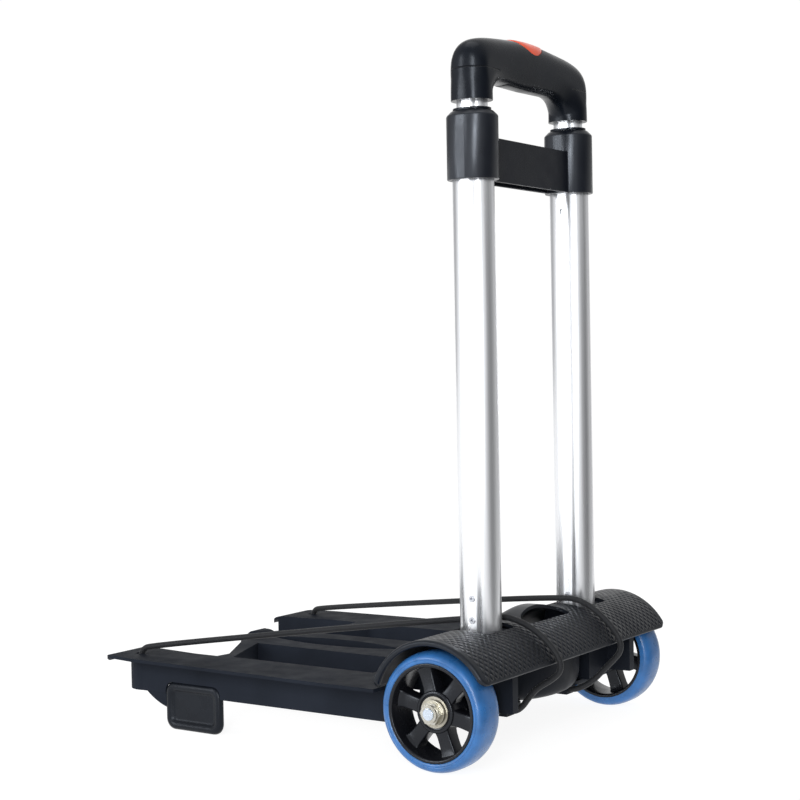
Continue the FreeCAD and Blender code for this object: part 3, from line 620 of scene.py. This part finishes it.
def grip_ring(outer, inner, depth, flat, side):
    """One ring of the grip, between a flat-sided round-ended section and a superellipse."""
    middle = [(a + b) / 2 for a, b in zip(outer, inner)]
    reach = [(a - b) / 2 for a, b in zip(outer, inner)]
    half = math.hypot(*reach)
    end = min(half, depth)
    ring = []
    for k in range(GRIP_AROUND):
        t = 2 * math.pi * (k + 0.5) / GRIP_AROUND
        c, s = rounded_square(t, GRIP_POWER)
        round_c = (math.copysign(half - end, math.cos(t)) + end * math.cos(t)) / half
        round_s = (math.copysign(depth - end, math.sin(t)) + end * math.sin(t)) / depth
        c, s = flat * round_c + (1 - flat) * c, flat * round_s + (1 - flat) * s
        ring.append(at(side * (middle[0] + reach[0] * c), depth * s, middle[1] + reach[1] * c))
    return ring


def smooth_rows(rows, steps):
    """Catmull-Rom rows between the given rows of numbers."""
    flat = [[*a, *b, c, d] for a, b, c, d in rows]
    out = []
    for i in range(len(flat) - 1):
        p0, p1, p2 = flat[max(i - 1, 0)], flat[i], flat[i + 1]
        p3 = flat[min(i + 2, len(flat) - 1)]
        for k in range(steps):
            t = k / steps
            out.append([0.5 * (2 * b + (c - a) * t + (2 * a - 5 * b + 4 * c - d) * t * t
                               + (3 * b - a - 3 * c + d) * t ** 3)
                        for a, b, c, d in zip(p0, p1, p2, p3)])
    out.append(flat[-1])
    return out


def button_outline(half, width):
    """The plan of the button: an ellipse that lies across the cart."""
    return [(half * math.cos(t), width * math.sin(t))
            for t in (2 * math.pi * (k + 0.5) / BUTTON_AROUND for k in range(BUTTON_AROUND))]


def make_grip():
    """The grip with its two legs and the pocket for the button."""
    rows = smooth_rows(GRIP_SECTIONS, steps=3)
    rings = [grip_ring(r[0:2], r[2:4], r[4], r[5], 1) for r in rows]
    rings += [grip_ring(r[0:2], r[2:4], r[4], r[5], -1) for r in reversed(rows[:-1])]
    mesh = meshed("grip_bow", rings)
    grip = place("grip_bow", mesh, "gloss_plastic", "handle",
                 ("grip_shell", "grip_leg_left", "grip_leg_right"))
    pocket = button_outline(BUTTON_HALF + BUTTON_GAP, BUTTON_HALF_WIDTH + BUTTON_GAP)
    cut_from(grip, prism(pocket, POCKET_Z, CLEAR_Z))
    smoothed(grip.data, 40)
    eased(grip, 0.4, angle=40)


# Mean height of the underside below the button, and the gain in half depth over a reach
UNDERSIDE_Z, DEPTH_GAIN, DEPTH_GAIN_REACH = 573.4, 0.1, 35


def grip_top(x, y):
    """Height of the grip's skin near its middle."""
    crown = CROWN_Z - CROWN_FALL * x * x
    half = (crown - UNDERSIDE_Z) / 2
    depth = CROWN_DEPTH + DEPTH_GAIN * abs(x) / DEPTH_GAIN_REACH
    across = min(1.0, abs(y) / depth)
    return crown - half + half * (1 - across ** GRIP_POWER) ** (1 / GRIP_POWER)


BUTTON_RINGS = (
    # share of the outline, height over the grip's skin
    (1.0, -0.9), (0.997, -0.45), (0.985, 0.0), (0.965, 0.4), (0.93, 0.7), (0.88, 0.85), (0.8, 0.9),
    (0.7, 0.9), (0.58, 0.9), (0.45, 0.9), (0.3, 0.9), (0.15, 0.9), (0.04, 0.9),
)


def make_button():
    """The release button, which wraps over the crown of the grip."""
    rings = [[at(x, y, BUTTON_LOW_Z) for x, y in button_outline(BUTTON_HALF, BUTTON_HALF_WIDTH)]]
    for share, raised in BUTTON_RINGS:
        outline = button_outline(BUTTON_HALF * share, BUTTON_HALF_WIDTH * share)
        rings.append([at(x, y, grip_top(x, y) + raised) for x, y in outline])
    place("thumb_button", meshed("thumb_button", rings, angle=50), "button_plastic", "button",
          ("release_button",))


PLATE_STATIONS = (
    # across the cart, half width
    (-37, 5.5), (-36.6, 6.6), (-35.6, 7.6), (-34, 8), (-20, 8), (0, 8), (20, 8), (34, 8),
    (35.6, 7.6), (36.6, 6.6), (37, 5.5),
)
PLATE_TOP_Z, PLATE_STEPS = 580.0, 12
# How far the plate stands below the skin; how far and how suddenly its long edges curl up
PLATE_PROUD, PLATE_CURL, PLATE_CURL_POWER = 0.6, 2.1, 14
# The underside of the grip rises by this per square of the distance from the middle, up to an end
ROOF_RISE, ROOF_RISE_END = 0.0009, 26


def make_underplate():
    """The strip let into the underside of the grip, following its roundness."""
    rings = []
    for x, wide in PLATE_STATIONS:
        roof = ROOF_Z + ROOF_RISE * min(abs(x), ROOF_RISE_END) ** 2
        half = (CROWN_Z - CROWN_FALL * x * x - roof) / 2
        low = []
        for k in range(PLATE_STEPS + 1):
            y = wide * (2 * k / PLATE_STEPS - 1)
            rise = half * (1 - (1 - (abs(y) / CROWN_DEPTH) ** GRIP_POWER) ** (1 / GRIP_POWER))
            curl = PLATE_CURL * (abs(y) / wide) ** PLATE_CURL_POWER
            low.append(at(x, y, roof + rise - PLATE_PROUD + curl))
        rings.append(low + [at(x, wide, PLATE_TOP_Z), at(x, -wide, PLATE_TOP_Z)])
    place("grip_underplate", meshed("grip_underplate", rings, angle=45), "gloss_plastic", "handle",
          ("grip_underplate",))


make_grip()
make_underplate()
make_button()


# ---- wheels --------------------------------------------------------------------------------

WHEEL_X = (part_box("tyre_right")[0].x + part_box("tyre_right")[1].x) / 2 / MM
AXLE_Z = AXLE.z / MM
WHEEL_AROUND, HUB_AROUND = 128, 96
# The three profiles give the distance out from the wheel's middle, and the radius
TYRE_PROFILE = (
    (-15.75, 41.0), (-15.75, 44.4), (-15.4, 45.6), (-14.5, 46.9), (-12.8, 48.2), (-10.4, 49.1),
    (-7.4, 49.7), (-4, 49.95), (0, 50), (4, 49.95), (7.4, 49.7), (10.4, 49.1), (12.8, 48.2),
    (14.5, 46.9), (15.4, 45.6), (15.7, 44.6), (15.3, 44.1), (15.3, 43.7), (15.7, 43.3),
    (15.75, 42.4), (15.5, 41.5), (15.0, 41.0),
)
RIM_PROFILE = (
    (15.2, 41.0), (15.65, 40.7), (15.75, 40.2), (15.75, 38.9), (15.5, 38.3), (14.9, 37.9),
    (13.6, 37.6), (9, 37.1), (2, 36.5), (-2, 36.5), (-9, 37.1), (-13.6, 37.6), (-14.9, 37.9),
    (-15.5, 38.3), (-15.75, 38.9), (-15.75, 40.2), (-15.65, 40.7), (-15.2, 41.0),
)
HUB_PROFILE = (
    (-13.9, 13.0), (-13.9, 16.6), (-13.5, 17.3), (-12.8, 17.6), (7.6, 17.6), (8.4, 17.4),
    (8.9, 16.9), (9.1, 16.3), (9.1, 14.9), (8.8, 14.5), (8.2, 14.3), (8.0, 13.6), (7.9, 13.0),
)
SPOKE_RINGS = (
    # radius, half width, half thickness
    (15.0, 6.9, 7.6), (18.0, 6.3, 7.3), (21.0, 6.1, 7.0), (26.0, 6.3, 6.7), (31.0, 6.6, 6.6),
    (34.5, 7.0, 6.9), (36.6, 7.8, 7.6), (38.6, 8.8, 8.8),
)
SPOKE_COUNT, SPOKE_FIRST, SPOKE_CORNER = 6, 48.0, 1.6


def lathe(name, profile, side, around=WHEEL_AROUND):
    """Turns a profile round the axle, at the wheel on that side."""
    rings = []
    for k in range(around):
        t = 2 * math.pi * k / around
        c, s = math.cos(t), math.sin(t)
        rings.append([at(side * (WHEEL_X + out), radius * c, AXLE_Z + radius * s)
                      for out, radius in profile])
    return meshed(name, rings, closed=True)


def spoke(side, degrees):
    """One spoke, flared where it meets the hub and the outer ring."""
    a = math.radians(degrees)
    rings = []
    for radius, width, thick in SPOKE_RINGS:
        ring = []
        for out, across in rounded_box(0, 0, thick, width, SPOKE_CORNER, steps=4):
            y = radius * math.cos(a) - across * math.sin(a)
            z = radius * math.sin(a) + across * math.cos(a)
            ring.append(at(side * (WHEEL_X + out), y, AXLE_Z + z))
        rings.append(ring)
    return meshed("spoke", rings, angle=35)


def make_wheel(side, name):
    """A tyre, and the rim made of an outer ring, a hub and the spokes between them."""
    place(f"wheel_tyre_{name}", lathe("tyre", TYRE_PROFILE, side), "tyre_blue",
          f"wheel_{name}", (f"tyre_{name}",))
    rim = place(f"wheel_rim_{name}", lathe("rim", RIM_PROFILE, side), "rim_plastic",
                f"wheel_{name}", (f"rim_{name}",))
    joined(rim, lathe("hub", HUB_PROFILE, side, around=HUB_AROUND))
    for number in range(SPOKE_COUNT):
        joined(rim, spoke(side, SPOKE_FIRST + 360 // SPOKE_COUNT * number))
    smoothed(rim.data, 35)
    eased(rim, 0.7, angle=35)


make_wheel(1, "right")
make_wheel(-1, "left")


# ---- fender --------------------------------------------------------------------------------

# Wall of the shell, thickness of its rim at both ends, and half of its length
FENDER_WALL, FENDER_RIM, FENDER_HALF = 3.0, 5.0, 168.0
# Degrees up from the rear at which the shell ends in front
FRONT_DEG = 164.0
# Radius of the shell's corners, in the flat
FENDER_CORNER = 9.0
# Steps over the shell from lip to lip, round each lip, along the cart, and round each end's rim
SHELL_STEPS, LIP_STEPS, SPAN_STEPS, BEAD_STEPS = 110, 6, 156, 7
# The brow ahead of the finger hole: its height, how it bows away from the middle, and the
# softness of its foot; then where along and across the cart it begins and ends
HOOD_TOP, HOOD_BOW, HOOD_SOFT = 116.5, 181.8, 0.8
HOOD_FRONT, HOOD_HOLE, HOOD_SIDE = (-26, -7), (10, 15), (34, 44)
# The slots that the tubes come through
SLOT_X, SLOT_HALF_X, SLOT_HALF_Y, SLOT_CORNER = 84.7, 25.0, 18.9, 4
CUT_Z = (85, 135)
# Half width of the finger hole, its back edge and its corners there
HOLE_HALF, HOLE_BACK, HOLE_CORNER = 36, 21, (33, 18.5)
# The bow at its front: how deep, from where, how full, and the degrees it turns to each side
HOLE_BOW, HOLE_BOW_Y, HOLE_BOW_POWER, HOLE_BOW_DEG, HOLE_BOW_STEPS = 11, 14, 0.8, 88, 28
# How the wall thickens to each end: distance in from the rim's round, and the wall there
RIM_WALLS = ((0, FENDER_RIM), (2.5, FENDER_RIM), (4.5, FENDER_RIM - 0.6), (6, FENDER_WALL + 0.3))
RIM_REACH = 8
# Degrees from straight out at which the rim's round begins
BEAD_FROM = 6


def ramp(value, low, high):
    """0 below low, 1 above high and smooth between."""
    t = min(1.0, max(0.0, (value - low) / (high - low)))
    return t * t * (3 - 2 * t)


def hood_rise(x, y):
    """How far the brow ahead of the finger hole stands above the fender."""
    base = AXLE_Z + math.sqrt(max(FENDER_R ** 2 - y * y, 0))
    over = HOOD_TOP - x * x / HOOD_BOW - base
    soft = (over + math.sqrt(over * over + HOOD_SOFT)) / 2
    return (soft * ramp(y, *HOOD_FRONT) * (1 - ramp(y, *HOOD_HOLE))
            * (1 - ramp(abs(x), *HOOD_SIDE)))


def fender_station(x, outer, inner):
    """One ring of the shell: out over the top and back underneath, with round lips."""
    past = max(0.0, abs(x) - (FENDER_HALF - FENDER_CORNER))
    inset = FENDER_CORNER - math.sqrt(max(FENDER_CORNER ** 2 - past * past, 0))
    trim = math.degrees(inset / FENDER_R)
    start, stop = LIP_DEG + trim, FRONT_DEG - trim
    middle, half = (outer + inner) / 2, (outer - inner) / 2
    edge = math.degrees(half / middle)
    over = [start + edge + (stop - start - 2 * edge) * k / SHELL_STEPS
            for k in range(SHELL_STEPS + 1)]
    lip = [math.pi * k / LIP_STEPS for k in range(1, LIP_STEPS)]
    # Each place is an angle in degrees and a distance out from the middle of the wall
    places = [(degrees, half) for degrees in over]
    places += [(stop - edge + edge * math.sin(t), half * math.cos(t)) for t in lip]
    places += [(degrees, -half) for degrees in reversed(over)]
    places += [(start + edge - edge * math.sin(t), -half * math.cos(t)) for t in lip]
    ring = []
    for degrees, off in places:
        c, s = math.cos(math.radians(degrees)), math.sin(math.radians(degrees))
        radius = middle + off + hood_rise(x, FENDER_R * c)
        ring.append(at(x, radius * c, AXLE_Z + radius * s))
    return ring


def finger_outline():
    """The D-shaped hole: bowed at the front, straight at the back."""
    turns = [math.radians(-HOLE_BOW_DEG + 2 * HOLE_BOW_DEG * k / HOLE_BOW_STEPS)
             for k in range(HOLE_BOW_STEPS + 1)]
    bow = [(HOLE_HALF * math.sin(t), HOLE_BOW_Y - HOLE_BOW * math.cos(t) ** HOLE_BOW_POWER)
           for t in turns]
    x, y = HOLE_CORNER
    return [(-x, HOLE_BACK), (-HOLE_HALF, y), *bow, (HOLE_HALF, y), (x, HOLE_BACK)]


def make_fender():
    """The knurled shell over the wheels, with the tubes' slots and the finger hole."""
    flat, bead = FENDER_HALF - FENDER_RIM / 2, FENDER_RIM / 2
    middle = FENDER_R - bead
    # Each station is a place across the cart, and the shell's outer and inner radius there
    end = []
    for k in range(BEAD_STEPS):
        t = math.radians(BEAD_FROM + (90 - BEAD_FROM) * k / BEAD_STEPS)
        end.append((flat + bead * math.cos(t), middle + bead * math.sin(t),
                    middle - bead * math.sin(t)))
    end += [(flat - inset, FENDER_R, FENDER_R - wall) for inset, wall in RIM_WALLS]
    reach = flat - RIM_REACH
    span = [(reach - reach * 2 * k / SPAN_STEPS, FENDER_R, FENDER_R - FENDER_WALL)
            for k in range(SPAN_STEPS + 1)]
    other_end = [(-x, outer, inner) for x, outer, inner in reversed(end)]
    rings = [fender_station(*station) for station in end + span + other_end]
    fender = place("fender_shell", meshed("fender_shell", rings, angle=45), "fender_plastic",
                   "frame", ("fender_housing",))
    for side in (1, -1):
        slot = rounded_box(side * SLOT_X, 0, SLOT_HALF_X, SLOT_HALF_Y, SLOT_CORNER)
        cut_from(fender, prism(slot, *CUT_Z))
    cut_from(fender, prism(finger_outline(), *CUT_Z))
    smoothed(fender.data, 32)
    eased(fender, 0.7, angle=40)


# ---- belly ---------------------------------------------------------------------------------

BELLY_RINGS = (
    # height, share of the half length, share of the half depth: up outside and down inside
    (38.6, 0.02, 0.02), (38.6, 0.3, 0.34), (38.65, 0.5, 0.58), (38.9, 0.62, 0.72),
    (39.6, 0.72, 0.82), (40.8, 0.8, 0.885), (42.4, 0.86, 0.93), (44.6, 0.91, 0.96),
    (47.5, 0.95, 0.98), (51.5, 0.98, 0.992), (58.0, 0.995, 1.0), (68.0, 1.0, 1.0),
    (79.0, 1.0, 1.0), (80.0, 0.985, 0.98), (79.0, 0.95, 0.94), (68.0, 0.95, 0.94),
    (52.0, 0.93, 0.93), (45.0, 0.84, 0.88), (42.0, 0.68, 0.75), (41.2, 0.4, 0.4),
    (41.2, 0.02, 0.02),
)
BELLY_AROUND = 120
TUB_HALF, TUB_DEPTH, TUB_Y = 73.0, 41.0, -8.0
# Each tab reaches from the first to the second distance across the cart
TAB_REACH, TAB_HALF, TAB_CORNER = (44.0, 103.0), 16.0, 5
TAB_RINGS = ((36.0, 1.0), (36.5, 0.3), (37.2, 0.0), (40.0, 0.0))  # height, inset


def make_belly():
    """The rounded tub, and the tabs that run from it under the sockets."""
    rings = []
    for z, long, deep in BELLY_RINGS:
        rings.append([at(TUB_HALF * long * math.cos(t), TUB_Y + TUB_DEPTH * deep * math.sin(t), z)
                      for t in (2 * math.pi * k / BELLY_AROUND for k in range(BELLY_AROUND))])
    hull = place("belly_hull", meshed("belly_hull", rings, angle=45), "housing_plastic", "frame",
                 ("belly_cover",))
    middle, half = sum(TAB_REACH) / 2, (TAB_REACH[1] - TAB_REACH[0]) / 2
    for side in (1, -1):
        rings = []
        for z, inset in TAB_RINGS:
            outline = rounded_box(side * middle, 0, half - inset, TAB_HALF - inset, TAB_CORNER)
            rings.append([at(x, y, z) for x, y in outline])
        joined(hull, meshed("tab", rings))
    smoothed(hull.data, 40)


# ---- feet ----------------------------------------------------------------------------------

FOOT_LOW, FOOT_HIGH = (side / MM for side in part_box("foot_right"))
FOOT_CORNER = 10
FOOT_RINGS = (
    # depth behind the face, inset of the outline
    (7.0, 1.6), (6.4, 0.6), (5.4, 0), (4.0, 0), (2.3, 0.35), (1.1, 1.1), (0.3, 2.3), (0, 4.0),
    (0.25, 5.6), (1.0, 7.0), (2.2, 8.0), (2.9, 9.0), (3.0, 10.4), (2.8, 14.0),
)


def make_foot(side, name):
    """A foot: a pad with round edges and a shallow dish in its face."""
    y = (FOOT_LOW.y + FOOT_HIGH.y) / 2 - AXLE.y / MM
    z = (FOOT_LOW.z + FOOT_HIGH.z) / 2
    half_y, half_z = (FOOT_HIGH.y - FOOT_LOW.y) / 2, (FOOT_HIGH.z - FOOT_LOW.z) / 2
    rings = []
    for depth, inset in FOOT_RINGS:
        corner = max(3.0, FOOT_CORNER - inset * 0.7)
        outline = rounded_box(y, z, half_y - inset, half_z - inset, corner, steps=7)
        rings.append([at(side * (FOOT_HIGH.x - depth), a, b) for a, b in outline])
    place(f"glide_foot_{name}", meshed(f"glide_foot_{name}", rings, angle=50), "foot_plastic",
          "deck", (f"foot_{name}",))


make_fender()
make_belly()
make_foot(1, "right")
make_foot(-1, "left")


# ---- the CAD's own nodes -------------------------------------------------------------------

# In metres, the distance over which a node's doubled points are joined; then the degrees up to
# which its neighbouring faces count as one flat
WELD_DISTANCE, FLAT_DEG = 1e-6, 0.5
# Width of the round on each node's edges
EASE = {
    "deck": 0.7, "collar_bridge": 1.0, "axle_bracket": 0.8, "axle_lock_nuts": 0.6,
    "axle_washers": 0.4, "axle": 0.4, "outer_tube": 0.2, "middle_tube": 0.2, "inner_tube": 0.2,
    "tube_rivets": 0.15, "middle_cap": 0.3,
}
# Nodes with another material than their slot's own: the collar, and zinc copies with painted shade
# and a painted reflection
FINISH_AND_PAINTED_LIGHT = {
    "collar_bridge": "collar_plastic", "axle_lock_nuts": "nut_steel", "axle": "axle_steel",
    "axle_washers": "washer_steel", "bearings_left": "washer_steel",
    "bearings_right": "washer_steel",
}


def dress(name, obj, slot):
    """Paints a CAD node and rounds the edges that its moulding or machining would round."""
    paint(obj, slot)
    weld = obj.modifiers.new("weld", "WELD")
    weld.merge_threshold = WELD_DISTANCE
    base = name.removesuffix("_left").removesuffix("_right")
    if base in EASE:
        flat = obj.modifiers.new("flat", "DECIMATE")
        flat.decimate_type, flat.angle_limit = "DISSOLVE", math.radians(FLAT_DEG)
        eased(obj, EASE[base], angle=30)


for item in frame["record"]["subparts"]:
    chosen_slot = FINISH_AND_PAINTED_LIGHT.get(item["node"], item["material_slot"])
    dress(item["node"], frame["nodes"][item["node"]], chosen_slot)


# ---- floor and light -----------------------------------------------------------------------

# In metres: how far the floor reaches ahead and to the sides, and behind the cart. It stops short
# there, so that the tubes' rear edges reflect the dark walls.
FLOOR_REACH, FLOOR_BEHIND = 30.0, 0.12
FLOOR_GREY, FLOOR_CLOUD, FLOOR_GLOW = 0.22, (0.21, 0.23), 0.9


def make_floor():
    """A plain pale floor that gives off light, as white as the paper beyond it."""
    data = bpy.data.meshes.new("floor")
    far, rear = FLOOR_REACH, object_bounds()[1][1] + FLOOR_BEHIND
    data.from_pydata([(-far, -far, 0), (far, -far, 0), (far, rear, 0), (-far, rear, 0)], [],
                     [(0, 1, 2, 3)])
    floor = bpy.data.objects.new("floor", data)
    bpy.context.scene.collection.objects.link(floor)
    s = Surface("floor_paint", (FLOOR_GREY,) * 3, 0.9, Specular_IOR_Level=0.0,
                Emission_Color=(1, 1, 1, 1), Emission_Strength=FLOOR_GLOW)
    s.tint(s.noise(3, 2), *[(grey,) * 3 for grey in FLOOR_CLOUD])
    data.materials.append(s.material)


def area_light(name, spot, size, power, color):
    """A soft box at the spot, turned to the middle of the cart."""
    data = bpy.data.lights.new(name, "AREA")
    data.shape, data.size, data.size_y = "RECTANGLE", size[0], size[1]
    data.energy, data.color = power, color
    light = bpy.data.objects.new(name, data)
    light.location = spot
    aim = Vector(MIDDLE) - Vector(spot)
    light.rotation_mode = "QUATERNION"
    light.rotation_quaternion = aim.to_track_quat("-Z", "Y")
    bpy.context.scene.collection.objects.link(light)


ROOM_LEVELS = (
    # degrees from +x towards +y, brightness of the wall there
    (0, 0.95), (35, 1.0), (58, 0.7), (80, 0.24), (105, 0.12), (128, 0.28), (145, 0.62),
    (160, 0.45), (175, 0.65), (188, 1.02), (232, 1.02), (240, 0.35), (262, 0.25), (285, 0.7),
    (310, 0.95), (360, 0.95),
)
# Brightness of the ceiling, and the rise (sine of the elevation) over which the walls turn into it
CEILING, CEILING_FROM = (0.55, 0.55, 0.55), (0.35, 0.7)
PAPER = (1.02, 1.02, 1.015, 1)


def room_wall(world, x, y):
    """The brightness of the room's wall, by the direction it is seen in."""
    turn = world.math("FLOORED_MODULO", world.math("ARCTAN2", y, x), 2 * math.pi)
    wall = world.node("ShaderNodeValToRGB")
    wall.color_ramp.interpolation = "EASE"
    stops = wall.color_ramp.elements
    while len(stops) > 1:
        stops.remove(stops[0])
    for degrees, level in ROOM_LEVELS:
        stop = stops[0] if degrees == 0 else stops.new(degrees / 360)
        stop.position = degrees / 360
        stop.color = (level, level, level, 1)
    world.link(world.math("DIVIDE", turn, 2 * math.pi), wall.inputs["Fac"])
    return wall.outputs["Color"]


def make_world():
    """White paper to the camera; the cart reflects a pale room with darker walls at its sides."""
    studio = bpy.data.worlds.new("studio")
    studio.use_nodes = True
    world = NodeTree(studio.node_tree)
    x, y, z = world.split(world.node("ShaderNodeTexCoord").outputs["Generated"])
    room = world.tree.nodes["Background"]
    color = world.mix(world.range(z, 0.0, 1.0, *CEILING_FROM), room_wall(world, x, y), CEILING)
    world.link(color, room.inputs["Color"])
    paper = world.node("ShaderNodeBackground")
    paper.inputs["Color"].default_value = PAPER
    seen = world.node("ShaderNodeMixShader")
    camera_ray = world.node("ShaderNodeLightPath").outputs["Is Camera Ray"]
    for source, socket in zip((camera_ray, room.outputs[0], paper.outputs[0]), seen.inputs):
        world.link(source, socket)
    world.link(seen.outputs["Shader"], world.tree.nodes["World Output"].inputs["Surface"])
    bpy.context.scene.world = studio


def toward(azimuth, elevation, distance):
    """A place seen from the cart's middle in that direction, from +x towards +y."""
    a, e = math.radians(azimuth), math.radians(elevation)
    return (distance * math.cos(a) * math.cos(e), distance * math.sin(a) * math.cos(e),
            MIDDLE[2] + distance * math.sin(e))


# In metres, as are the lights' places and sizes
MIDDLE = (0, 0, 0.3)
WHITE, COOL_WHITE = (1, 1, 1), (0.93, 0.96, 1.0)
make_floor()
make_world()
area_light("overhead", (0.1, 0.0, 2.6), (1.6, 1.6), 10, WHITE)
area_light("key", toward(27, 12, 2.8), (0.6, 1.9), 54, COOL_WHITE)
area_light("side", toward(-32, 12, 3.0), (0.6, 1.8), 32, COOL_WHITE)
bpy.context.scene.view_settings.view_transform = "Standard"
